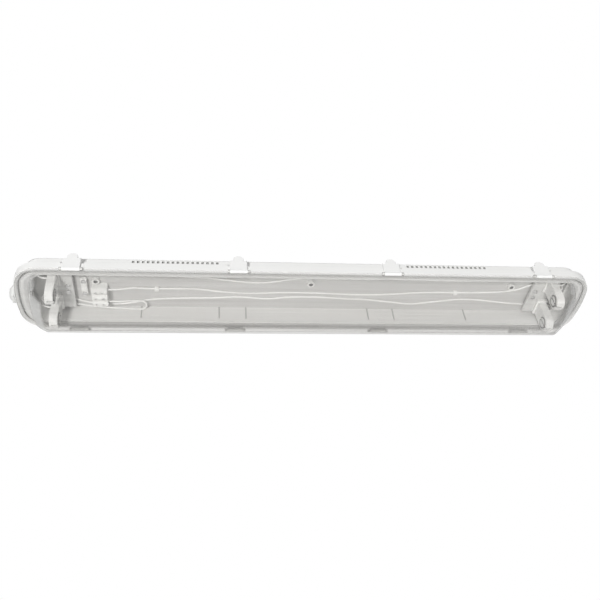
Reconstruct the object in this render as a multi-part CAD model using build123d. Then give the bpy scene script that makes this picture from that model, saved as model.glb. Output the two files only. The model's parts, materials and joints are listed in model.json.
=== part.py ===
import os
from math import atan, cos, degrees, pi, radians, sin, sqrt, tan

from build123d import *

# Twin-lamp vapor tight batten for 600 mm tubes, hung from its flat back.
# Millimetres. Origin in the middle of the back face, +Z up, +X along the length.

# Lamps: a tube, its end play and the room behind each lampholder face set the length
lamp_length = 589.8
lamp_end_play = 1.2
end_room = 48.0
lamp_side = 29.0
lamp_rise = 11.0

# Base housing
width = 98.0
corner_r = 28.0
end_bow_r = 165.0
base_depth = 26.0
skirt_h = 10.0
skirt_t = 2.5
body_inset = 8.5
wall = 2.5
back_t = 2.5
back_edge_r = 3.0
channel_depth = 8.0
fixing_end = 88.5
fixing_y = -8.0
fixing_d = 5.0
collar_d = 9.0
collar_h = 4.0
slot_count = 18
slot_pitch = 5.65
slot_start = 114.0
slot_w = 2.9
slot_h = 6.0
slot_depth = 2.0
slot_drop = 3.5
rib_inner = 77.0
rib_mid = 110.0
rib_outer = 204.0
rib_stop = 5.0
wall_rib_w = 1.4
wall_rib_t = 1.0

# Diffuser and gasket
diffuser_depth = 30.5
diffuser_t = 1.8
side_inset = 6.0
end_inset = 15.0
wall_drop = 18.0
wall_taper = 15.0
bottom_inset = 18.0
bevel_r = 3.0
bottom_r = 2.5
flange_t = 2.5
flange_inset = 1.0
parting_gap = 0.3
tongue_t = 2.0
gasket_h = 3.0
gasket_side_gap = 0.5
seal_gap = 0.05
prism_count = 5
prism_pitch = 2.4
prism_h = 0.3
prism_top = 4.0
prism_end = 56.0

# Rocker clips
clip_end = 67.5
clip_mid = 90.0
clip_w = 19.8
clip_t = 2.2
clip_gap = 0.5
clip_top = 4.6
dome_w = 12.5
dome_top = 4.0
hook_reach = 2.3
hook_gap = 0.3
hook_nose = 1.2
notch_size = 2.2
notch_side = 3.0
pivot_drop = 2.6
barrel_r = 2.1
pin_d = 2.4
pin_l = 2.5
pin_fit = 0.05
ear_w = 2.6
ear_gap = 0.25

# Lampholders
holder_w = 20.0
holder_t = 9.5
holder_reach = 25.0
foot_w = 24.0
foot_t = 13.0
foot_h = 3.0
tab_w = 4.6
tab_t = 2.8
tab_offset = 6.0
tab_gap = 0.2
tab_proud = 1.0
rotor_d = 15.0
rotor_h = 7.2
rotor_proud = 0.5
rotor_web = 0.8
rotor_slot = 2.9
rotor_fit = 0.08
stem_d = 5.0
stem_h = 1.4
entry_slot = 3.2
contact_t = 0.5
contact_w = 5.0
contact_l = 24.0
contact_gap = 0.1
contact_offset = 8.5
lead_offset = 4.5
lead_rise = 7.5
lead_depth = 2.0

# Lampholder brackets
bracket_x = 27.0
bracket_y = 62.0
bracket_t = 1.2
bracket_h = 8.0
bracket_lip = 4.0
bracket_lead = 0.5
pillar_d = 7.0
pillar_y = 5.0
pillar_back = 14.0
screw_d = 2.5
screw_head_d = 5.6
screw_head_h = 1.8
screw_l = 6.0
screw_gap = 0.35

# Terminal block and cord clamp
terminal_back = 44.5
terminal_y = 12.0
terminal_l = 18.0
pole_pitch = 10.0
pole_count = 3
pole_w = 9.2
pole_h = 13.5
terminal_base_h = 5.0
entry_h = 7.0
entry_d = 3.6
sleeve_l = 14.5
sleeve_bore = 2.4
sleeve_gap = 0.1
grub_d = 3.0
grub_l = 3.2
grub_pitch = 8.0
clamp_back = 27.0
clamp_w = 7.0
clamp_l = 26.0
clamp_t = 3.0
clamp_post_h = 2.5
clamp_screw_y = 10.0
clamp_groove_d = 7.0

# Wires
wire_d = 2.0
wire_gap = 0.05
wire_hole_gap = 0.15
wire_holder_back = 120.0
wire_holder_lead = 12.0
wire_turn = 13.0
pole_lead = 14.5
wire_holder_y = 5.0
wire_holder_l = 5.0
wire_holder_w = 6.0
wire_holder_h = 4.2

# Cable gland
gland_y = 8.0
gland_drop = 11.4
gland_d = 12.0
gland_fit = 0.1
gland_af = 20.0
gland_flange = 2.5
gland_shank = 3.2
gland_bore = 7.0
gland_boss_w = 26.0
gland_pad_stop = 2.0
seal_d = 9.6
seal_bore = 6.5
seal_l = 4.2
seal_fit = 0.1
seal_proud = 0.4
cap_l = 6.0
cap_gap = 0.3
cap_mouth = 7.4
cap_lip = 1.6
cap_nose_d = 13.0
locknut_af = 15.0
locknut_h = 3.5
locknut_seat_d = 17.4

# Planes and lines that several pieces share
length = lamp_length + lamp_end_play + 2 * end_room
end_x = length / 2
part_z = -base_depth
ledge_z = part_z + skirt_h
floor_z = -back_t
roof_z = part_z + channel_depth
flange_z = part_z - parting_gap
bottom_z = part_z - diffuser_depth
rim_y = width / 2
body_y = rim_y - body_inset
clip_in = rim_y + clip_gap
pivot_y = clip_in + clip_t / 2
pivot_z = part_z - pivot_drop
channel_mid = (skirt_t + body_inset) / 2
face_x = (lamp_length + lamp_end_play) / 2
back_x = face_x + holder_t
tip_z = part_z - holder_reach
lamp_z = tip_z + lamp_rise
round_z = tip_z + holder_w / 2
seat_z = floor_z - bracket_h
holder_x = (face_x + back_x) / 2
lead_z = seat_z - lead_rise
wire_z = floor_z - wire_d / 2 - wire_gap
entry_z = floor_z - entry_h
gland_z = -gland_drop
inner_y = body_y - wall
lamp_y = rim_y - lamp_side
terminal_x = -(face_x - terminal_back)
clamp_x = -(face_x - clamp_back)
wire_holder_x = back_x - wire_holder_back
outer_clip = end_x - clip_end
clip_xs = (-outer_clip, -clip_mid, clip_mid, outer_clip)

parts = {}


def outline(half_x, half_y, r):
    # Straight sides, ends bowed outwards and rounded corners.
    bow_r = end_bow_r - (end_x - half_x)
    side_x = half_x - bow_r + sqrt(bow_r**2 - half_y**2)
    edges = [
        Line((-side_x, -half_y), (side_x, -half_y)),
        ThreePointArc((side_x, -half_y), (half_x, 0), (side_x, half_y)),
        Line((side_x, half_y), (-side_x, half_y)),
        ThreePointArc((-side_x, half_y), (-half_x, 0), (-side_x, -half_y)),
    ]
    face = make_face(edges)
    return fillet(face.vertices(), r)


def prism(inset, z_top, z_low):
    face = outline(end_x - inset, rim_y - inset, corner_r - inset)
    return extrude(Plane.XY.offset(z_low) * face, z_top - z_low)


def ring(outer_inset, inner_inset, z_top, z_low):
    return prism(outer_inset, z_top, z_low) - prism(inner_inset, z_top, z_low)


def rod(d, x, y, z_top, z_low):
    return extrude(Plane((x, y, z_low)) * Circle(d / 2), z_top - z_low)


def rod_x(d, x0, x1, y, z):
    plane = Plane((min(x0, x1), y, z), x_dir=(0, 1, 0), z_dir=(1, 0, 0))
    return extrude(plane * Circle(d / 2), abs(x1 - x0))


def block(x0, x1, y0, y1, z0, z1):
    return Pos((x0 + x1) / 2, (y0 + y1) / 2, (z0 + z1) / 2) * Box(abs(x1 - x0), abs(y1 - y0), abs(z1 - z0))


def slice_x(points, x0, x1):
    # A polygon drawn in Y and Z, drawn out along X.
    face = make_face(Polyline(*[(x0, y, z) for y, z in points], close=True))
    return extrude(face, abs(x1 - x0), dir=(1, 0, 0))


def hex_x(af, x0, x1, y, z):
    plane = Plane((min(x0, x1), y, z), x_dir=(0, 1, 0), z_dir=(1, 0, 0))
    return extrude(plane * RegularPolygon(af / 2, 6, major_radius=False, rotation=0), abs(x1 - x0))


def pan_screw(x, y, z, length_in):
    # The head lies under the seat at z and the shank goes up from it.
    head = rod(screw_head_d, x, y, z, z - screw_head_h)
    head = chamfer(head.faces().sort_by(Axis.Z)[0].edges(), screw_head_h * 0.3)
    slot_z = z - screw_head_h
    slot = block(x - screw_head_d, x + screw_head_d, y - 0.4, y + 0.4, slot_z, slot_z + screw_head_h * 0.4)
    return head - slot + rod(screw_d, x, y, z + length_in, z)


# Base housing: a shallow tray with a wider hollow rim round its mouth
body = prism(body_inset, 0, part_z)
body = fillet(body.faces().sort_by(Axis.Z)[-1].edges(), back_edge_r)
base = body + prism(0, ledge_z, part_z)
gland_hole_in = -end_x + body_inset + wall
boss_y0 = gland_y - gland_boss_w / 2
boss_y1 = gland_y + gland_boss_w / 2
base += block(-end_x, gland_hole_in, boss_y0, boss_y1, ledge_z, -back_edge_r / 2)
base += block(-end_x, -end_x + skirt_t, boss_y0, boss_y1, ledge_z, part_z + gland_pad_stop)
base -= prism(body_inset + wall, floor_z, part_z)
base -= ring(skirt_t, body_inset, roof_z, part_z)

fixing_x = end_x - fixing_end
fixing_xs = (-fixing_x, 0.0, fixing_x)
for x in fixing_xs:
    base += rod(collar_d, x, fixing_y, floor_z, floor_z - collar_h)
for x in fixing_xs:
    base -= rod(fixing_d, x, fixing_y, 0, floor_z - collar_h)

bracket_mid = holder_x - (bracket_x - foot_t) / 2 + bracket_lead
pillar_x = holder_x - pillar_back
pillar_z = seat_z + bracket_t
pillars = [(s * pillar_x, t * pillar_y) for s in (-1, 1) for t in (-1, 1)]
for x, y in pillars:
    base += rod(pillar_d, x, y, floor_z, pillar_z)
for x, y in pillars:
    base -= rod(screw_d, x, y, pillar_z + screw_l, pillar_z)

for s in (-1, 1):
    base += rod(pillar_d, clamp_x, s * clamp_screw_y, floor_z, floor_z - clamp_post_h)
for s in (-1, 1):
    base -= rod(screw_d, clamp_x, s * clamp_screw_y, floor_z + 0.5, floor_z - clamp_post_h)

for x in (-rib_outer, -rib_mid, -rib_inner, rib_inner, rib_mid, rib_outer):
    for s in (-1, 1):
        y0 = s * (inner_y + wall / 2)
        y1 = s * (inner_y - wall_rib_t)
        base += block(x - wall_rib_w / 2, x + wall_rib_w / 2, y0, y1, floor_z, part_z + rib_stop)

# Rows of shallow hook slots high on both long sides
for s in (-1, 1):
    for side in (-1, 1):
        for i in range(slot_count):
            x = s * (slot_start + i * slot_pitch)
            y0 = side * (body_y - slot_depth)
            y1 = side * (body_y + 1)
            base -= block(x - slot_w / 2, x + slot_w / 2, y0, y1, -slot_drop, -slot_drop - slot_h)

# A sloped notch in the rim's top edge takes the hook of each clip
notch_half = clip_w / 2 + notch_side
for x in clip_xs:
    for s in (-1, 1):
        corner = [
            (s * (rim_y + 0.5), ledge_z - notch_size - 0.5),
            (s * (rim_y + 0.5), ledge_z + 0.5),
            (s * (rim_y - notch_size - 0.5), ledge_z + 0.5),
        ]
        base -= slice_x(corner, x - notch_half, x + notch_half)

base -= rod_x(gland_d + 2 * gland_fit, -end_x - 1, gland_hole_in + 1, gland_y, gland_z)
base -= rod_x(locknut_seat_d, gland_hole_in, gland_hole_in + 2 * locknut_h, gland_y, gland_z)
parts["base_housing"] = base

# Gasket pressed against the roof of the rim channel
parts["gasket"] = ring(skirt_t + gasket_side_gap, body_inset - gasket_side_gap, roof_z, roof_z - gasket_h)

# Diffuser: tub with sloped walls and a bevel round its flat bottom, flange, sealing tongue, ears and prisms
tub_h = flange_z - bottom_z
lean = tan(radians(wall_taper))
skew = cos(radians(wall_taper))
bevel_lean = (bottom_inset - wall_drop * lean) / (tub_h - wall_drop)
bend_mean = (radians(wall_taper) + atan(bevel_lean)) / 2
bend_half = (atan(bevel_lean) - radians(wall_taper)) / 2


def tub_level(inset, z):
    face = outline(end_x - end_inset - inset, rim_y - side_inset - inset, corner_r - side_inset - inset)
    return Pos(0, 0, z) * face


def tub(offset):
    # The outer form at offset 0; a larger offset is the same form that much inside it.
    drop = wall_drop - offset * sin(bend_mean) / cos(bend_half)
    bend_z = flange_z - drop
    base_z = bottom_z + offset
    top_inset = offset / skew
    bend_inset = top_inset + drop * lean
    base_inset = bend_inset + (bend_z - base_z) * bevel_lean
    form = loft([tub_level(top_inset, flange_z), tub_level(bend_inset, bend_z)], ruled=True)
    form += loft([tub_level(bend_inset, bend_z), tub_level(base_inset, base_z)], ruled=True)
    form = fillet(form.faces().sort_by(Axis.Z)[0].edges(), bottom_r - offset)
    return fillet(form.edges().filter_by_position(Axis.Z, bend_z - 0.01, bend_z + 0.01), bevel_r)


diffuser = prism(flange_inset, flange_z, flange_z - flange_t) + tub(0)
tongue_top = roof_z - gasket_h - seal_gap
diffuser += ring(channel_mid - tongue_t / 2, channel_mid + tongue_t / 2, tongue_top, flange_z - flange_t / 2)
diffuser -= tub(diffuser_t)

# Low prisms run along the inside of both long walls, drawn as one saw-tooth section
tooth_y = rim_y - side_inset - diffuser_t / skew
half_wall = diffuser_t / 2 / skew
prism_x = end_x - prism_end
for s in (-1, 1):
    teeth = []
    for i in range(prism_count):
        d0 = prism_top + i * prism_pitch
        d1 = d0 + prism_pitch / 2
        teeth.append((s * (tooth_y - d0 * lean), flange_z - d0))
        teeth.append((s * (tooth_y - d1 * lean - prism_h), flange_z - d1))
    d_end = prism_top + prism_count * prism_pitch
    teeth.append((s * (tooth_y - d_end * lean), flange_z - d_end))
    teeth.append((s * (tooth_y - d_end * lean + half_wall), flange_z - d_end))
    teeth.append((s * (tooth_y - prism_top * lean + half_wall), flange_z - prism_top))
    diffuser += slice_x(teeth, -prism_x, prism_x)

ear_in = clip_w / 2 + ear_gap
for x in clip_xs:
    for s in (-1, 1):
        for e in (-1, 1):
            x0 = x + e * ear_in
            x1 = x + e * (ear_in + ear_w)
            y_root = s * (rim_y - flange_inset - 2)
            ear = rod_x(2 * barrel_r, x0, x1, s * pivot_y, pivot_z)
            ear += block(x0, x1, y_root, s * pivot_y, flange_z - 0.2, flange_z - flange_t)
            diffuser += ear
for x in clip_xs:
    for s in (-1, 1):
        for e in (-1, 1):
            x0 = x + e * ear_in
            x1 = x + e * (ear_in + ear_w)
            diffuser -= rod_x(pin_d + 2 * pin_fit, x0, x1, s * pivot_y, pivot_z)
parts["diffuser"] = diffuser

# Clips: a barrel with two trunnions, a plate, a sloped hook and a domed thumb tab
hook_low = ledge_z - notch_size + hook_gap / cos(radians(45)) - clip_gap
hook_tip = clip_in - hook_reach
tab_z = ledge_z + clip_top
dome_z = -dome_top - dome_w / 2


def clip(x, s):
    plate = block(x - clip_w / 2, x + clip_w / 2, s * clip_in, s * (clip_in + clip_t), pivot_z, tab_z)
    plane = Plane((x, s * clip_in, dome_z), x_dir=(1, 0, 0), z_dir=(0, s, 0))
    plate += extrude(plane * Circle(dome_w / 2), clip_t)
    plate += block(x - dome_w / 2, x + dome_w / 2, s * clip_in, s * (clip_in + clip_t), tab_z - 1, dome_z)
    front = plate.faces().filter_by(Axis.Y).sort_by(Axis.Y)[-1 if s > 0 else 0]
    plate = chamfer(front.edges().filter_by(lambda e: e.center().Z > pivot_z + 1), clip_t * 0.3)
    hook = slice_x(
        [
            (s * (clip_in + 0.2), hook_low - 0.2),
            (s * hook_tip, hook_low + hook_reach),
            (s * hook_tip, hook_low + hook_reach + hook_nose),
            (s * (clip_in + 0.2), tab_z),
        ],
        x - clip_w / 2 + 1,
        x + clip_w / 2 - 1,
    )
    barrel = rod_x(2 * barrel_r, x - clip_w / 2, x + clip_w / 2, s * pivot_y, pivot_z)
    pins = rod_x(pin_d, x - clip_w / 2 - pin_l, x + clip_w / 2 + pin_l, s * pivot_y, pivot_z)
    return plate + hook + barrel + pins


for s, side in ((-1, "front"), (1, "rear")):
    for i, x in enumerate(clip_xs):
        parts[f"clip_{side}_{i + 1}"] = clip(x, s)


# Lampholders: e is the end of the fixture, s the side of the centre line
def lampholder(e, s):
    y = s * lamp_y
    x0 = e * face_x
    x1 = e * back_x
    body = block(x0, x1, y - holder_w / 2, y + holder_w / 2, seat_z, round_z)
    body += rod_x(holder_w, x0, x1, y, round_z)
    body = chamfer(body.faces().sort_by(Axis.X)[0 if e > 0 else -1].edges(), 0.6)
    mid = e * holder_x
    body += block(mid - foot_t / 2, mid + foot_t / 2, y - foot_w / 2, y + foot_w / 2, seat_z, seat_z - foot_h)
    for t in (-1, 1):
        tab_y = y + t * tab_offset
        tab_z1 = seat_z + bracket_t + tab_proud
        body += block(mid - tab_t / 2, mid + tab_t / 2, tab_y - tab_w / 2, tab_y + tab_w / 2, seat_z, tab_z1)
    deep = e * (face_x - rotor_proud + rotor_h + 0.2)
    body -= rod_x(rotor_d + 2 * rotor_fit, x0 - e, deep, y, lamp_z)
    body -= rod_x(stem_d + 2 * rotor_fit, x0, deep + e * (stem_h + 0.2), y, lamp_z)
    body -= block(x0 - e, deep, y - entry_slot / 2, y + entry_slot / 2, lamp_z, tip_z - 1)
    for t in (-1, 1):
        c = y + t * contact_offset
        half = contact_t / 2 + contact_gap
        z1 = lamp_z + contact_l - contact_w
        body -= block(x1 + e, x1 - e * (contact_w + contact_gap), c - half, c + half, lamp_z - contact_w, z1)
        lead = rod_x(wire_d + 2 * wire_hole_gap, x1 + e, x1 - e * lead_depth, y + t * lead_offset, lead_z)
        body -= lead
    return body


def rotor(e, s):
    y = s * lamp_y
    x0 = e * (face_x - rotor_proud)
    x1 = x0 + e * rotor_h
    disc = rod_x(rotor_d, x0, x1, y, lamp_z) + rod_x(stem_d, x1 - e, x1 + e * stem_h, y, lamp_z)
    half = rotor_slot / 2
    return disc - block(x0, x1 - e * rotor_web, y - half, y + half, lamp_z - rotor_d, lamp_z + rotor_d)


contacts = []
for e, end in ((-1, "left"), (1, "right")):
    for s, side in ((-1, "front"), (1, "rear")):
        parts[f"lampholder_{end}_{side}"] = lampholder(e, s)
        parts[f"rotor_{end}_{side}"] = rotor(e, s)
        for t in (-1, 1):
            c = s * lamp_y + t * contact_offset
            z0 = lamp_z - contact_w + contact_gap
            x1 = e * back_x
            z1 = z0 + contact_l - 2 * contact_gap
            contacts.append(block(x1, x1 - e * contact_w, c - contact_t / 2, c + contact_t / 2, z0, z1))
parts["lampholder_contacts"] = Compound(children=[Solid(c.wrapped) for c in contacts])

# Lampholder brackets: folded sheet plates on moulded pillars
bracket_screws = []
for e, end in ((-1, "left"), (1, "right")):
    mid = e * bracket_mid
    x0 = mid - bracket_x / 2
    x1 = mid + bracket_x / 2
    plate = block(x0, x1, -bracket_y / 2, bracket_y / 2, seat_z, seat_z + bracket_t)
    for x in (x0, x1 - bracket_t):
        plate += block(x, x + bracket_t, -bracket_y / 2, bracket_y / 2, seat_z, seat_z + bracket_lip)
    for t in (-1, 1):
        plate -= rod(screw_d + 2 * screw_gap, e * pillar_x, t * pillar_y, seat_z + bracket_t, seat_z)
        for u in (-1, 1):
            ty = t * lamp_y + u * tab_offset
            hx = tab_t / 2 + tab_gap
            hy = tab_w / 2 + tab_gap
            tx = e * holder_x
            plate -= block(tx - hx, tx + hx, ty - hy, ty + hy, seat_z, seat_z + bracket_t)
        bracket_screws.append(pan_screw(e * pillar_x, t * pillar_y, seat_z, bracket_t + screw_l * 0.8))
    parts[f"lampholder_bracket_{end}"] = plate
parts["bracket_screws"] = Compound(children=bracket_screws)

# Terminal block with its metal sleeves and clamping screws
x0 = terminal_x - terminal_l / 2
x1 = terminal_x + terminal_l / 2
half_y = ((pole_count - 1) * pole_pitch + pole_w) / 2
poles = [terminal_y + (i - (pole_count - 1) / 2) * pole_pitch for i in range(pole_count)]
terminal = block(x0, x1, terminal_y - half_y, terminal_y + half_y, floor_z, floor_z - terminal_base_h)
lobe_z = floor_z - pole_h + pole_w / 2
for y in poles:
    terminal += block(x0, x1, y - pole_w / 2, y + pole_w / 2, floor_z, lobe_z)
    terminal += rod_x(pole_w, x0, x1, y, lobe_z)
sleeves = []
grubs = []
for y in poles:
    terminal -= rod_x(entry_d, x0 - 1, x1 + 1, y, entry_z)
    sleeve_d = entry_d - 2 * sleeve_gap
    sleeve = rod_x(sleeve_d, terminal_x - sleeve_l / 2, terminal_x + sleeve_l / 2, y, entry_z)
    sleeve -= rod_x(sleeve_bore, x0, x1, y, entry_z)
    sleeves.append(sleeve)
    for t in (-1, 1):
        x = terminal_x + t * grub_pitch / 2
        terminal -= rod(grub_d + 2 * sleeve_gap, x, y, entry_z, floor_z - pole_h - 1)
        top = entry_z - entry_d / 2
        grub = rod(grub_d, x, y, top, top - grub_l)
        grubs.append(grub - block(x - grub_d, x + grub_d, y - 0.3, y + 0.3, top - grub_l, top - grub_l + 0.8))
parts["terminal_block"] = terminal
parts["terminal_sleeves"] = Compound(children=sleeves)
parts["terminal_screws"] = Compound(children=grubs)

# Cord clamp bar across two posts by the cable entry
clamp_z = floor_z - clamp_post_h
clamp_x0 = clamp_x - clamp_w / 2
bar = block(clamp_x0, clamp_x0 + clamp_w, -clamp_l / 2, clamp_l / 2, clamp_z, clamp_z - clamp_t)
bar = fillet(bar.edges().filter_by(Axis.X).group_by(Axis.Z)[0], clamp_t * 0.4)
groove_z = clamp_z + clamp_groove_d / 2 - clamp_t * 0.5
bar -= rod_x(clamp_groove_d, clamp_x - clamp_w, clamp_x + clamp_w, 0, groove_z)
clamp_screws = []
for t in (-1, 1):
    bar -= rod(screw_d + 2 * screw_gap, clamp_x, t * clamp_screw_y, clamp_z, clamp_z - clamp_t)
    clamp_screws.append(pan_screw(clamp_x, t * clamp_screw_y, clamp_z - clamp_t, clamp_t + clamp_post_h))
parts["cord_clamp"] = bar
parts["clamp_screws"] = Compound(children=clamp_screws)

# Wire holders: small arches on the floor
holders = []
for s in (-1, 1):
    x = s * wire_holder_x
    arch = block(
        x - wire_holder_l / 2,
        x + wire_holder_l / 2,
        wire_holder_y - wire_holder_w / 2,
        wire_holder_y + wire_holder_w / 2,
        floor_z,
        floor_z - wire_holder_h,
    )
    arch = fillet(arch.edges().filter_by(Axis.X).group_by(Axis.Z)[0], wire_holder_w * 0.3)
    arch -= rod_x(wire_d + 2 * wire_hole_gap, x - wire_holder_l, x + wire_holder_l, wire_holder_y, wire_z)
    holders.append(arch)
parts["wire_holders"] = Compound(children=holders)

# Wires: routes on the floor, with ends that turn up behind the lampholders
turn_x = back_x + wire_turn
end_in = back_x - lead_depth * 0.6
pole_x = terminal_x + sleeve_l / 2 + 0.5


def lead_end(e, y):
    # From inside the back of a lampholder, out, up to the floor and inwards.
    return [(e * end_in, y, lead_z), (e * turn_x, y, lead_z), (e * turn_x, y, wire_z)]


def on_floor(points):
    # Points as shares of the tray's half length and half width.
    return [(u * back_x, v * inner_y, wire_z) for u, v in points]


def from_pole(i, points):
    # Out of a terminal pole; the third share is how far the point has sunk to the floor.
    start = [(pole_x, poles[i], entry_z), (pole_x + pole_lead, poles[i], entry_z)]
    return start + [(u * back_x, v * inner_y, entry_z + w * (wire_z - entry_z)) for u, v, w in points]


def in_holder(e):
    near = e * wire_holder_x - wire_holder_lead
    far = e * wire_holder_x + wire_holder_lead
    return [(near, wire_holder_y, wire_z), (far, wire_holder_y, wire_z)]


def wire(name, points):
    pts = [Vector(*p) for p in points]
    runs = [b - a for a, b in zip(pts, pts[1:])]
    radii = []
    for a, b in zip(runs, runs[1:]):
        turn = radians(a.get_angle(b))
        radii.append(0.45 * min(a.length, b.length) / tan(turn / 2))
    path = FilletPolyline(*pts, radius=radii)
    section = Plane(path @ 0, z_dir=path % 0) * Circle(wire_d / 2)
    tube = sweep(section, path)
    want = path.length * pi * wire_d**2 / 4
    print(name, "least radius", round(min(radii), 1), "volume ratio", round(tube.volume / want, 4))
    parts[name] = tube


near_route = [
    (-0.970, -0.666), (-0.862, -0.474), (-0.751, -0.579), (-0.607, -0.632), (-0.459, -0.592),
    (-0.344, -0.447), (-0.249, -0.250), (-0.164, -0.263), (-0.056, -0.579), (0.111, -0.553),
    (0.275, -0.605), (0.416, -0.632), (0.541, -0.587), (0.669, -0.579), (0.787, -0.632),
    (0.885, -0.639), (0.970, -0.668),
]
front_a = -lamp_y - lead_offset
wire("wire_front", lead_end(-1, front_a) + on_floor(near_route) + lead_end(1, front_a)[::-1])

mid_first = [(-0.698, 0.068, 0.8)]
mid_route = [
    (-0.449, 0.105), (-0.344, 0.263), (-0.220, 0.303), (-0.095, 0.224), (0.046, 0.250), (0.180, 0.303),
    (0.318, 0.276), (0.443, 0.158),
]
mid_last = [(0.725, 0.111), (0.797, 0.079), (0.872, -0.026), (0.921, -0.289), (0.977, -0.426)]
wire(
    "wire_middle",
    from_pole(0, mid_first)
    + in_holder(-1)
    + on_floor(mid_route)
    + in_holder(1)
    + on_floor(mid_last)
    + lead_end(1, lead_offset - lamp_y)[::-1],
)

far_route = [
    (-0.974, 0.429), (-0.908, 0.711), (-0.826, 0.882), (-0.721, 0.842), (-0.636, 0.618), (-0.508, 0.545),
    (-0.377, 0.526), (-0.279, 0.442), (-0.167, 0.566), (-0.092, 0.442), (0.033, 0.426), (0.151, 0.500),
    (0.236, 0.508), (0.367, 0.658), (0.436, 0.726), (0.554, 0.553), (0.646, 0.434), (0.754, 0.500),
    (0.859, 0.632), (0.967, 0.668),
]
rear_a = lamp_y + lead_offset
wire("wire_rear", lead_end(-1, lamp_y - lead_offset) + on_floor(far_route) + lead_end(1, rear_a)[::-1])

loop_route = [
    (-0.698, 0.539, 0.02), (-0.649, 0.537, 0.0), (-0.648, 0.921, 0.0), (-0.695, 0.926, 0.05),
    (-0.764, 0.916, 0.2), (-0.843, 0.905, 0.44), (-0.915, 0.842, 0.83), (-0.977, 0.724, 1.0),
]
wire("wire_loop", from_pole(2, loop_route) + lead_end(-1, rear_a)[::-1])

# Cable gland in the left end: body, locknut inside, rubber seal and cap nut
flange_x = -end_x - gland_flange
shank_x = flange_x - gland_shank
inner_x = gland_hole_in + locknut_h + 1
gland = hex_x(gland_af, -end_x, flange_x, gland_y, gland_z)
gland += rod_x(gland_d, shank_x, inner_x, gland_y, gland_z)
gland -= rod_x(gland_bore, shank_x - 1, inner_x + 1, gland_y, gland_z)
seat_x = shank_x + seal_l - seal_proud
gland -= rod_x(seal_d + 2 * seal_fit, shank_x - 1, seat_x, gland_y, gland_z)
parts["gland_body"] = gland
seal = rod_x(seal_d, seat_x, seat_x - seal_l, gland_y, gland_z)
parts["gland_seal"] = seal - rod_x(seal_bore, seat_x, seat_x - seal_l, gland_y, gland_z)

cap_x = flange_x - cap_gap
nose_x = cap_x - cap_l
cone_x = cap_x - cap_l * 0.45
cone_plane = Plane((cone_x, gland_y, gland_z), x_dir=(0, 1, 0), z_dir=(-1, 0, 0))
cone_taper = degrees(atan((gland_af - cap_nose_d) / 2 / (cone_x - nose_x)))
cone = extrude(cone_plane * Circle(gland_af / 2), cone_x - nose_x, taper=cone_taper)
cap = hex_x(gland_af, cap_x, cone_x, gland_y, gland_z)
cap += hex_x(gland_af, cap_x, nose_x, gland_y, gland_z) & cone
cap -= rod_x(gland_d + 2 * gland_fit, cap_x, nose_x + cap_lip, gland_y, gland_z)
cap -= rod_x(cap_mouth, cap_x, nose_x, gland_y, gland_z)
parts["gland_cap_nut"] = cap
locknut = hex_x(locknut_af, gland_hole_in, gland_hole_in + locknut_h, gland_y, gland_z)
locknut -= rod_x(gland_d + 2 * gland_fit, gland_hole_in, gland_hole_in + locknut_h, gland_y, gland_z)
parts["gland_locknut"] = locknut

os.makedirs("parts", exist_ok=True)
for name, solid in parts.items():
    export_step(solid, f"parts/{name}.step")
print(len(parts), "nodes")
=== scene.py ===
import json
import math

import bpy
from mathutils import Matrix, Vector


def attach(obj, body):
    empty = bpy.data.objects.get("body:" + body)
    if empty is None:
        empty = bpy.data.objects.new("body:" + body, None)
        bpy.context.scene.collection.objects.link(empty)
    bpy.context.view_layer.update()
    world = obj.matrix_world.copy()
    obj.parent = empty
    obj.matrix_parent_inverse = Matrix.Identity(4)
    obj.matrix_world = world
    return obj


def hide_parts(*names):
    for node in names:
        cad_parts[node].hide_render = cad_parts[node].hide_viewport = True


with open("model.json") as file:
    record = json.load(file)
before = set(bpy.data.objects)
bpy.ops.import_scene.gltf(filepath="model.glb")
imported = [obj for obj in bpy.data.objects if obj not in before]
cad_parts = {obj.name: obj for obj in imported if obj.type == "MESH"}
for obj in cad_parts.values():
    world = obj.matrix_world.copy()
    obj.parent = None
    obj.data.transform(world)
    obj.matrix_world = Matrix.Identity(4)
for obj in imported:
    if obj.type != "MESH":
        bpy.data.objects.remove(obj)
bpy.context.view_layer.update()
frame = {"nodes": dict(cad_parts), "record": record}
nodes = frame["nodes"]
scene = bpy.context.scene
print("frame loaded,", len(nodes), "nodes")


# camera below and in front of the hung batten, a little to its left and rolled
cameraSetup = {
    "place": (-0.1328, -0.6576, -0.6426),
    "turnDegrees": (132.95, 4.633, -5.926),
    "lens": 45.36,
    "sensor": 36.0,
    "clipStart": 0.02,
}


def addCamera(setup):
    data = bpy.data.cameras.new("camera")
    data.lens = setup["lens"]
    data.sensor_width = setup["sensor"]
    data.clip_start = setup["clipStart"]
    camera = bpy.data.objects.new("camera", data)
    camera.location = setup["place"]
    camera.rotation_euler = [math.radians(a) for a in setup["turnDegrees"]]
    scene.collection.objects.link(camera)
    scene.camera = camera


addCamera(cameraSetup)
print("camera placed")


def startMaterial(name):
    mat = bpy.data.materials.new(name)
    mat.use_nodes = True
    tree = mat.node_tree
    return mat, tree, tree.nodes["Principled BSDF"]


def feed(tree, socket, value):
    # another node's socket is linked; a number, or a colour of red, green and blue, is set
    if isinstance(value, bpy.types.NodeSocket):
        tree.links.new(value, socket)
    else:
        socket.default_value = (*value, 1) if isinstance(value, tuple) else value


def mathNode(tree, operation, *values):
    node = tree.nodes.new("ShaderNodeMath")
    node.operation = operation
    for socket, value in zip(node.inputs, values):
        feed(tree, socket, value)
    return node.outputs["Value"]


def mapRange(tree, value, source=(0, 1), target=(0, 1)):
    node = tree.nodes.new("ShaderNodeMapRange")
    node.inputs["From Min"].default_value, node.inputs["From Max"].default_value = source
    node.inputs["To Min"].default_value, node.inputs["To Max"].default_value = target
    tree.links.new(value, node.inputs["Value"])
    return node.outputs["Result"]


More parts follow.
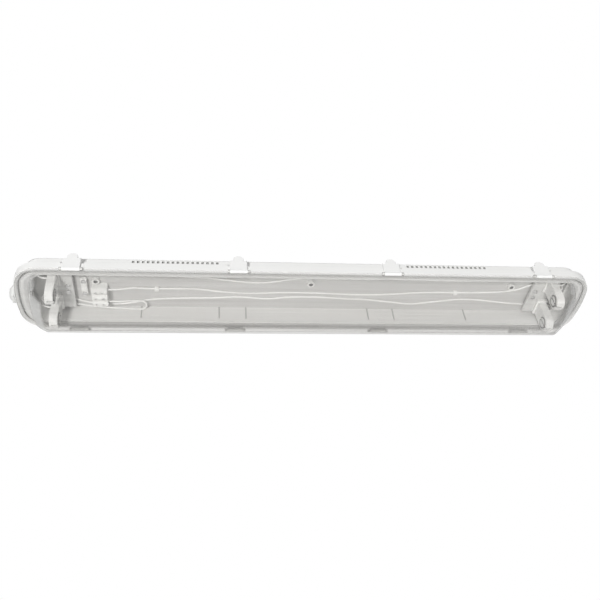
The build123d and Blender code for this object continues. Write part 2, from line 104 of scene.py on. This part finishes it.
def mixColour(tree, share, first, second):
    # the first colour where the share is 0, the second where it is 1
    mix = tree.nodes.new("ShaderNodeMix")
    mix.data_type = "RGBA"
    feed(tree, mix.inputs["A"], first)
    feed(tree, mix.inputs["B"], second)
    tree.links.new(share, mix.inputs["Factor"])
    return mix.outputs["Result"]


def mixShader(tree, share, first, second):
    mix = tree.nodes.new("ShaderNodeMixShader")
    for socket, source in zip(mix.inputs, (share, first, second)):
        tree.links.new(source, socket)
    return mix.outputs["Shader"]


# room: white surround, pale floor well below, a main lamp low at the front and three that fill
roomSetup = {
    "surroundColour": (1, 1, 1),
    "surroundSeen": 1.0,  # white where it is seen
    "surroundLight": 0.26,  # softer as light
    "floorZ": -5.5,
    "floorHalf": 9.0,
    "floorColour": (0.80, 0.80, 0.79),
    "floorRough": 0.8,
    "lamps": (
        {"name": "sideLamp", "place": (-1.0, -5.3, 1.2), "size": 1.2, "watts": 48.0},
        {"name": "lowLamp", "place": (-1.5, -4.0, -3.8), "size": 0.9, "watts": 262.0},
        {"name": "fillLamp", "place": (-0.4, 2.6, -4.4), "size": 1.8, "watts": 44.0},
        {"name": "backLamp", "place": (1.2, 3.0, 2.4), "size": 1.4, "watts": 115.0},
    ),
}


def seenRays(tree):
    # 1 for rays that show the surround: seen straight, mirrored or through clear plastic
    rays = tree.nodes.new("ShaderNodeLightPath").outputs
    seen = mathNode(tree, "MAXIMUM", rays["Is Camera Ray"], rays["Is Glossy Ray"])
    return mathNode(tree, "MAXIMUM", seen, rays["Is Transmission Ray"])


def addSurround(setup):
    world = bpy.data.worlds.new("surround")
    world.use_nodes = True
    scene.world = world
    tree = world.node_tree
    sky = tree.nodes["Background"]
    feed(tree, sky.inputs["Color"], setup["surroundColour"])
    strength = mapRange(tree, seenRays(tree), target=(setup["surroundLight"], setup["surroundSeen"]))
    tree.links.new(strength, sky.inputs["Strength"])


def addFloor(setup):
    h, z = setup["floorHalf"], setup["floorZ"]
    mesh = bpy.data.meshes.new("floor")
    mesh.from_pydata([(-h, -h, z), (h, -h, z), (h, h, z), (-h, h, z)], [], [(0, 1, 2, 3)])
    floor = bpy.data.objects.new("floor", mesh)
    scene.collection.objects.link(floor)
    paint, tree, shader = startMaterial("floorPaint")
    feed(tree, shader.inputs["Base Color"], setup["floorColour"])
    shader.inputs["Roughness"].default_value = setup["floorRough"]
    glow = tree.nodes.new("ShaderNodeEmission")
    pale = mixShader(tree, seenRays(tree), shader.outputs["BSDF"], glow.outputs["Emission"])
    tree.links.new(pale, tree.nodes["Material Output"].inputs["Surface"])
    mesh.materials.append(paint)


def addLamp(lamp):
    data = bpy.data.lights.new(lamp["name"], "AREA")
    data.size = lamp["size"]
    data.energy = lamp["watts"]
    lampObject = bpy.data.objects.new(lamp["name"], data)
    lampObject.location = lamp["place"]
    toPart = -Vector(lamp["place"])
    lampObject.rotation_euler = toPart.to_track_quat("-Z", "Y").to_euler()
    lampObject.visible_glossy = False  # the sheet mirrors the white surround, not the lamps
    scene.collection.objects.link(lampObject)


addSurround(roomSetup)
addFloor(roomSetup)
for lamp in roomSetup["lamps"]:
    addLamp(lamp)
scene.view_settings.view_transform = "Standard"
print("room lit by", len(roomSetup["lamps"]), "lamps")


noiseSpread = (0.3, 0.7)  # where most of a noise lies


def objectNoise(tree, scale, detail=2.0, stretch=(1, 1, 1)):
    # noise on the frame's metres; a stretch under 1 draws it out along that axis
    coords = tree.nodes.new("ShaderNodeTexCoord")
    mapping = tree.nodes.new("ShaderNodeMapping")
    mapping.inputs["Scale"].default_value = stretch
    tree.links.new(coords.outputs["Object"], mapping.inputs["Vector"])
    noise = tree.nodes.new("ShaderNodeTexNoise")
    noise.inputs["Scale"].default_value = scale
    noise.inputs["Detail"].default_value = detail
    tree.links.new(mapping.outputs["Vector"], noise.inputs["Vector"])
    return noise.outputs["Fac"]


def ramp(tree, noise, low, high):
    return mapRange(tree, noise, noiseSpread, (low, high))


def bump(tree, height, strength, distance):
    node = tree.nodes.new("ShaderNodeBump")
    node.inputs["Strength"].default_value = strength
    node.inputs["Distance"].default_value = distance
    tree.links.new(height, node.inputs["Height"])
    return node.outputs["Normal"]


def objectAxes(tree):
    coords = tree.nodes.new("ShaderNodeTexCoord")
    axes = tree.nodes.new("ShaderNodeSeparateXYZ")
    tree.links.new(coords.outputs["Object"], axes.inputs["Vector"])
    return axes.outputs


def foldedAxes(tree):
    # X and Y without their signs, so that a mark is the same at both ends and on both sides
    x, y, z = objectAxes(tree)
    return mathNode(tree, "ABSOLUTE", x), mathNode(tree, "ABSOLUTE", y), z


def insideBox(tree, middle, reach):
    # 1 within reach of the middle on all three axes
    limits = zip(foldedAxes(tree), middle, reach)
    x, y, z = [mathNode(tree, "COMPARE", axis, m, r) for axis, m, r in limits]
    return mathNode(tree, "MULTIPLY", mathNode(tree, "MULTIPLY", x, y), z)


def insideRing(tree, middle, reach, inner, outer):
    # 1 between two radii round a lampholder's axis, within reach of the middle along X
    x, y, z = foldedAxes(tree)
    away = tree.nodes.new("ShaderNodeCombineXYZ")
    tree.links.new(mathNode(tree, "SUBTRACT", y, middle[1]), away.inputs["Y"])
    tree.links.new(mathNode(tree, "SUBTRACT", z, middle[2]), away.inputs["Z"])
    radius = tree.nodes.new("ShaderNodeVectorMath")
    radius.operation = "LENGTH"
    tree.links.new(away.outputs["Vector"], radius.inputs[0])
    ring = mathNode(tree, "COMPARE", radius.outputs["Value"], (inner + outer) / 2, (outer - inner) / 2)
    along = mathNode(tree, "COMPARE", x, middle[0], reach)
    return mathNode(tree, "MULTIPLY", ring, along)


# what all mouldings share; the gloss wanders at so many times the cloud's scale
plasticSetup = {
    "ior": 1.49,
    "cloudDetail": 3.0,
    "glossTimes": 7,
    "grainDetail": 1.0,
    "grainHeight": 0.0002,
}
metalSetup = {
    "lineDepth": 0.15,
    "lineHeight": 0.0001,
}


def mouldedPlastic(name, look):
    # cloudy two-tone colour, painted shade laid over it in boxes and rings where recesses and corners
    # fall dark, wandering gloss and a fine spark-eroded grain
    mat, tree, shader = startMaterial(name)
    cloud = objectNoise(tree, look["cloud"], plasticSetup["cloudDetail"])
    colour = mixColour(tree, ramp(tree, cloud, 0, 1), look["tint"], look["shade"])
    # painted shade: darker boxes and rings over the colour, where shade falls, not the moulding's own
    # tone
    for patch in look.get("paintedShadePatches", ()):
        for middle in patch["middles"]:
            colour = mixColour(tree, insideBox(tree, middle, patch["reach"]), colour, patch["shade"])
    for ring in look.get("paintedShadeRings", ()):
        colour = mixColour(tree, insideRing(tree, **ring), colour, look["paintedRecessShade"])
    tree.links.new(colour, shader.inputs["Base Color"])
    gloss = objectNoise(tree, look["cloud"] * plasticSetup["glossTimes"])
    tree.links.new(ramp(tree, gloss, look["smooth"], look["rough"]), shader.inputs["Roughness"])
    grain = objectNoise(tree, look["grain"], plasticSetup["grainDetail"])
    grained = bump(tree, grain, look["grainDepth"], plasticSetup["grainHeight"])
    tree.links.new(grained, shader.inputs["Normal"])
    shader.inputs["IOR"].default_value = plasticSetup["ior"]
    return mat


def plainMetal(name, look):
    # plated metal with fine drawn lines along one axis
    mat, tree, shader = startMaterial(name)
    lines = objectNoise(tree, look["lines"], stretch=look["drawn"])
    colour = mixColour(tree, ramp(tree, lines, 0, 1), look["tint"], look["shade"])
    tree.links.new(colour, shader.inputs["Base Color"])
    tree.links.new(ramp(tree, lines, look["smooth"], look["rough"]), shader.inputs["Roughness"])
    lined = bump(tree, lines, metalSetup["lineDepth"], metalSetup["lineHeight"])
    tree.links.new(lined, shader.inputs["Normal"])
    shader.inputs["Metallic"].default_value = 1.0
    return mat


def clearSheet(name, look):
    # thin clear sheet: seen straight through, mirroring by a power of how far it turns away,
    # streaked by flow lines along the length, milkier at a slant and frosted on the flange
    mat, tree, shader = startMaterial(name)
    flow = objectNoise(tree, look["flow"], stretch=look["flowStretch"])
    ripple = bump(tree, flow, look["flowDepth"], look["flowHeight"])
    facing = tree.nodes.new("ShaderNodeLayerWeight").outputs["Facing"]
    aslant = mapRange(tree, facing, look["slant"])

    straight = tree.nodes.new("ShaderNodeBsdfTransparent")
    through = mixColour(tree, ramp(tree, flow, 1, 0), look["tint"], look["streak"])
    tree.links.new(mixColour(tree, aslant, through, look["slantTint"]), straight.inputs["Color"])

    feed(tree, shader.inputs["Base Color"], look["milk"])
    shader.inputs["IOR"].default_value = plasticSetup["ior"]
    tree.links.new(ramp(tree, flow, look["smooth"], look["rough"]), shader.inputs["Roughness"])
    tree.links.new(ripple, shader.inputs["Normal"])
    haze = ramp(tree, flow, look["hazeLow"], look["hazeHigh"])
    haze = mathNode(tree, "MULTIPLY_ADD", aslant, look["slantHaze"], haze)
    onFlange = mathNode(tree, "GREATER_THAN", objectAxes(tree)["Z"], look["flangeZ"])
    haze = mathNode(tree, "MAXIMUM", haze, mathNode(tree, "MULTIPLY", onFlange, look["frost"]))
    milky = mixShader(tree, haze, straight.outputs["BSDF"], shader.outputs["BSDF"])

    mirror = tree.nodes.new("ShaderNodeBsdfAnisotropic")
    mirror.inputs["Roughness"].default_value = look["smooth"]
    tree.links.new(ripple, mirror.inputs["Normal"])
    glance = mathNode(tree, "POWER", facing, look["mirrorPower"])
    mirrored = mapRange(tree, glance, target=(look["mirrorFront"], look["mirrorEdge"]))
    sheet = mixShader(tree, mirrored, milky, mirror.outputs["BSDF"])
    tree.links.new(sheet, tree.nodes["Material Output"].inputs["Surface"])
    return mat


# cloud, grain, lines and flow are noise scales, smooth and rough the ends of the roughness
housingLook = {
    "tint": (0.86, 0.86, 0.85), "shade": (0.83, 0.83, 0.815), "cloud": 14,
    "grain": 2600, "grainDepth": 0.12, "smooth": 0.38, "rough": 0.50,
    "paintedShadePatches": (
        # painted shade over the inner floor, which lies in the tray's shade
        {"middles": [(0, 0, -0.0027)],  # inner floor
         "reach": (0.3285, 0.0392, 0.0005), "shade": (0.642, 0.637, 0.629)},
        # painted shadow of the lampholders and brackets on the floor at both ends
        {"middles": [(0.3190, 0, -0.0027)],  # floor behind the lampholders
         "reach": (0.0100, 0.0392, 0.0005), "shade": (0.38, 0.378, 0.37)},
        # painted shade on the inner faces of the long walls
        {"middles": [(0, 0.0380, -0.0150)],  # inner faces of the long walls
         "reach": (0.3285, 0.0004, 0.0124), "shade": (0.815, 0.812, 0.80)},
        # painted shade inside the hook slots, where a deep recess would fall dark
        {"middles": [(0.16203, 0.0393, -0.0065)],  # insides of the hook slots
         "reach": (0.0500, 0.0009, 0.0031), "shade": (0.40, 0.40, 0.39)},
        # painted shade on the wall ribs, standing in for the shadows at their edges
        {"middles": [(x, 0.0374, -0.0138) for x in (0.077, 0.110, 0.204)],  # wall ribs
         "reach": (0.0008, 0.0005, 0.0112), "shade": (0.48, 0.48, 0.47)},
        # painted shade inside the bores of the fixing holes
        {"middles": [(x, 0.008, -0.00455) for x in (0, 0.255)],  # fixing holes
         "reach": (0.0026, 0.0026, 0.00185), "shade": (0.22, 0.22, 0.215)},
    ),
}
clipLook = {
    "tint": (0.88, 0.88, 0.87), "shade": (0.85, 0.85, 0.84), "cloud": 60,
    "grain": 1800, "grainDepth": 0.06, "smooth": 0.28, "rough": 0.38,
}

# painted shade rings: the recess that the rotors turn in, and the rim round each rotor's face, both
# darkened where shade falls
rotorRecessShadeRing = {"middle": (0.3000, 0.0200, -0.0400), "reach": 0.0040, "inner": 0.0, "outer": 0.0082}
rotorRimShadeRing = {"middle": (0.2955, 0.0200, -0.0400), "reach": 0.0010, "inner": 0.0058, "outer": 0.0082}
# the colour of the painted shade in those rings
paintedRecessShade = (0.20, 0.20, 0.195)
holderLook = {
    "tint": (0.95, 0.95, 0.94), "shade": (0.93, 0.93, 0.915), "cloud": 70,
    "grain": 1500, "grainDepth": 0.04, "smooth": 0.22, "rough": 0.32,
    "paintedShadeRings": (rotorRecessShadeRing,), "paintedRecessShade": paintedRecessShade,
}
rotorLook = {
    "tint": (0.87, 0.87, 0.86), "shade": (0.84, 0.84, 0.83), "cloud": 90,
    "grain": 1500, "grainDepth": 0.04, "smooth": 0.25, "rough": 0.36,
    "paintedShadeRings": (rotorRecessShadeRing, rotorRimShadeRing), "paintedRecessShade": paintedRecessShade,
}
bracketLook = {
    "tint": (0.69, 0.69, 0.68), "shade": (0.66, 0.66, 0.647), "cloud": 40,
    "grain": 900, "grainDepth": 0.10, "smooth": 0.34, "rough": 0.46,
}
terminalLook = {
    "tint": (0.92, 0.92, 0.91), "shade": (0.88, 0.88, 0.86), "cloud": 80,
    "grain": 2000, "grainDepth": 0.06, "smooth": 0.40, "rough": 0.52,
}
wireLook = {
    "tint": (0.97, 0.97, 0.96), "shade": (0.95, 0.95, 0.935), "cloud": 120,
    "grain": 2400, "grainDepth": 0.05, "smooth": 0.34, "rough": 0.46,
}
glandLook = {
    "tint": (0.70, 0.70, 0.69), "shade": (0.67, 0.67, 0.655), "cloud": 70,
    "grain": 2200, "grainDepth": 0.08, "smooth": 0.36, "rough": 0.48,
}
gasketLook = {
    "tint": (0.88, 0.88, 0.87), "shade": (0.82, 0.82, 0.80), "cloud": 300,
    "grain": 3000, "grainDepth": 0.5, "smooth": 0.80, "rough": 0.95,
}
sealLook = {
    "tint": (0.055, 0.055, 0.058), "shade": (0.08, 0.08, 0.082), "cloud": 200,
    "grain": 2600, "grainDepth": 0.12, "smooth": 0.55, "rough": 0.70,
}
steelLook = {
    "tint": (0.86, 0.86, 0.86), "shade": (0.78, 0.78, 0.785),
    "lines": 900, "drawn": (1, 1, 0.1), "smooth": 0.22, "rough": 0.36,
}
brassLook = {
    "tint": (0.80, 0.62, 0.30), "shade": (0.70, 0.52, 0.24),
    "lines": 800, "drawn": (1, 1, 0.1), "smooth": 0.25, "rough": 0.40,
}
diffuserLook = {
    "tint": (0.995, 0.993, 0.989), "streak": (0.915, 0.911, 0.905), "milk": (0.93, 0.93, 0.92),
    "flow": 420, "flowStretch": (0.012, 1, 1), "flowDepth": 0.05, "flowHeight": 0.0003,
    "smooth": 0.03, "rough": 0.12, "hazeLow": 0.0, "hazeHigh": 0.05,
    "slant": (0.36, 0.62), "slantHaze": 0.34, "slantTint": (0.74, 0.738, 0.732),
    "flangeZ": -0.0287, "frost": 0.50,
    "mirrorFront": 0.04, "mirrorEdge": 0.25, "mirrorPower": 5.0,
}

finishes = {
    "housing_white": mouldedPlastic("housingWhiteWithPaintedShade", housingLook),
    "clip_white": mouldedPlastic("clipWhite", clipLook),
    "holder_white": mouldedPlastic("holderWhiteWithPaintedShade", holderLook),
    "rotor_white": mouldedPlastic("rotorWhiteWithPaintedShade", rotorLook),
    "bracket_white": mouldedPlastic("bracketEnamel", bracketLook),
    "terminal_white": mouldedPlastic("terminalWhite", terminalLook),
    "wire_white": mouldedPlastic("wireSleeving", wireLook),
    "gland_white": mouldedPlastic("glandWhite", glandLook),
    "gasket_foam": mouldedPlastic("gasketFoam", gasketLook),
    "seal_rubber": mouldedPlastic("sealRubber", sealLook),
    "screw_steel": plainMetal("screwSteel", steelLook),
    "contact_brass": plainMetal("contactBrass", brassLook),
    "clear_plastic": clearSheet("clearDiffuser", diffuserLook),
}
for part in frame["record"]["subparts"]:
    mesh = nodes[part["node"]].data
    mesh.materials.clear()
    mesh.materials.append(finishes[part["material_slot"]])


# white single-core wires: the routes of the frame's wires, each drawn as one smooth spline
wireSetup = {
    "thick": 0.0020,
    "roundSteps": 5,
    "lengthSteps": 8,
    "halfLength": 0.305,
    "halfWidth": 0.038,
    "layZ": -0.00355,
    "leadZ": -0.018,
    "leadIn": 0.3038,
    "leadTurn": 0.318,
    "leadY": {"frontOuter": -0.0245, "frontInner": -0.0155, "rearInner": 0.0155, "rearOuter": 0.0245},
    "poleX": (-0.24325, -0.22875),
    "poleY": {"middle": 0.002, "rear": 0.022},
    "poleZ": -0.0095,
    "holderX": 0.185,
    "holderY": 0.005,
    "holderReach": 0.012,
    "lengths": {"wire_front": 0.68, "wire_middle": 0.588, "wire_rear": 0.685, "wire_loop": 0.198},
}

# shares of the half length and half width; a third one is how far the wire has come up from its pole
nearRoute = [
    (-0.970, -0.666), (-0.862, -0.474), (-0.751, -0.430), (-0.607, -0.440), (-0.459, -0.410),
    (-0.344, -0.310), (-0.249, -0.190), (-0.164, -0.200), (-0.056, -0.430), (0.111, -0.420),
    (0.275, -0.430), (0.416, -0.450), (0.541, -0.410), (0.669, -0.420), (0.787, -0.470),
    (0.885, -0.530), (0.970, -0.668),
]
midFirst = [(-0.698, 0.068, 0.8)]
midRoute = [
    (-0.449, 0.105), (-0.344, 0.263), (-0.220, 0.303), (-0.095, 0.224), (0.046, 0.250), (0.180, 0.303),
    (0.318, 0.276), (0.443, 0.158),
]
midLast = [(0.725, 0.111), (0.797, 0.079), (0.872, -0.026), (0.921, -0.289), (0.977, -0.426)]
farRoute = [
    (-0.974, 0.429), (-0.908, 0.711), (-0.826, 0.882), (-0.721, 0.842), (-0.636, 0.618), (-0.508, 0.545),
    (-0.377, 0.526), (-0.279, 0.442), (-0.167, 0.566), (-0.092, 0.442), (0.033, 0.426), (0.151, 0.500),
    (0.236, 0.508), (0.367, 0.658), (0.436, 0.726), (0.554, 0.553), (0.646, 0.434), (0.754, 0.500),
    (0.859, 0.632), (0.967, 0.668),
]
loopRoute = [
    (-0.698, 0.539, 0.02), (-0.649, 0.537, 0.0), (-0.648, 0.921, 0.0), (-0.695, 0.926, 0.05),
    (-0.764, 0.916, 0.2), (-0.843, 0.905, 0.44), (-0.915, 0.842, 0.83), (-0.977, 0.724, 1.0),
]
left, right = -1, 1


def leadEnd(setup, end, lead):
    # out of the back of a lampholder, then to the tray's floor
    turn, y = end * setup["leadTurn"], setup["leadY"][lead]
    high, low = setup["layZ"], setup["leadZ"]
    return [(end * setup["leadIn"], y, low), (turn, y, low), (turn, y, high)]


def onFloor(setup, route):
    return [(u * setup["halfLength"], v * setup["halfWidth"], setup["layZ"]) for u, v in route]


def fromPole(setup, pole, route):
    # straight out of a pole of the terminal block, then along the route
    low, rise = setup["poleZ"], setup["layZ"] - setup["poleZ"]
    start = [(x, setup["poleY"][pole], low) for x in setup["poleX"]]
    x, y = setup["halfLength"], setup["halfWidth"]
    return start + [(u * x, v * y, low + w * rise) for u, v, w in route]


def inHolder(setup, end):
    # straight through a wire holder
    middle, reach = end * setup["holderX"], setup["holderReach"]
    return [(x, setup["holderY"], setup["layZ"]) for x in (middle - reach, middle + reach)]


def addWire(node, points, setup):
    curve = bpy.data.curves.new(node + "_run", "CURVE")
    curve.dimensions = "3D"
    curve.bevel_depth = setup["thick"] / 2
    curve.bevel_resolution = setup["roundSteps"]
    curve.use_fill_caps = True
    spline = curve.splines.new("NURBS")
    spline.points.add(len(points) - 1)
    spline.points.foreach_set("co", [c for p in points for c in (*p, 1.0)])
    spline.order_u = 3
    spline.use_endpoint_u = True
    spline.resolution_u = setup["lengthSteps"]
    run = bpy.data.objects.new(node + "_run", curve)
    scene.collection.objects.link(run)
    curve.materials.append(finishes["wire_white"])
    print(node, "runs", round(spline.calc_length(), 4), "m")
    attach(run, "housing")
    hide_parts(node)


addWire("wire_front", leadEnd(wireSetup, left, "frontOuter") + onFloor(wireSetup, nearRoute)
        + leadEnd(wireSetup, right, "frontOuter")[::-1], wireSetup)
addWire("wire_middle", fromPole(wireSetup, "middle", midFirst) + inHolder(wireSetup, left)
        + onFloor(wireSetup, midRoute) + inHolder(wireSetup, right) + onFloor(wireSetup, midLast)
        + leadEnd(wireSetup, right, "frontInner")[::-1], wireSetup)
addWire("wire_rear", leadEnd(wireSetup, left, "rearInner") + onFloor(wireSetup, farRoute)
        + leadEnd(wireSetup, right, "rearOuter")[::-1], wireSetup)
addWire("wire_loop", fromPole(wireSetup, "rear", loopRoute)
        + leadEnd(wireSetup, left, "rearOuter")[::-1], wireSetup)
print("wires laid")
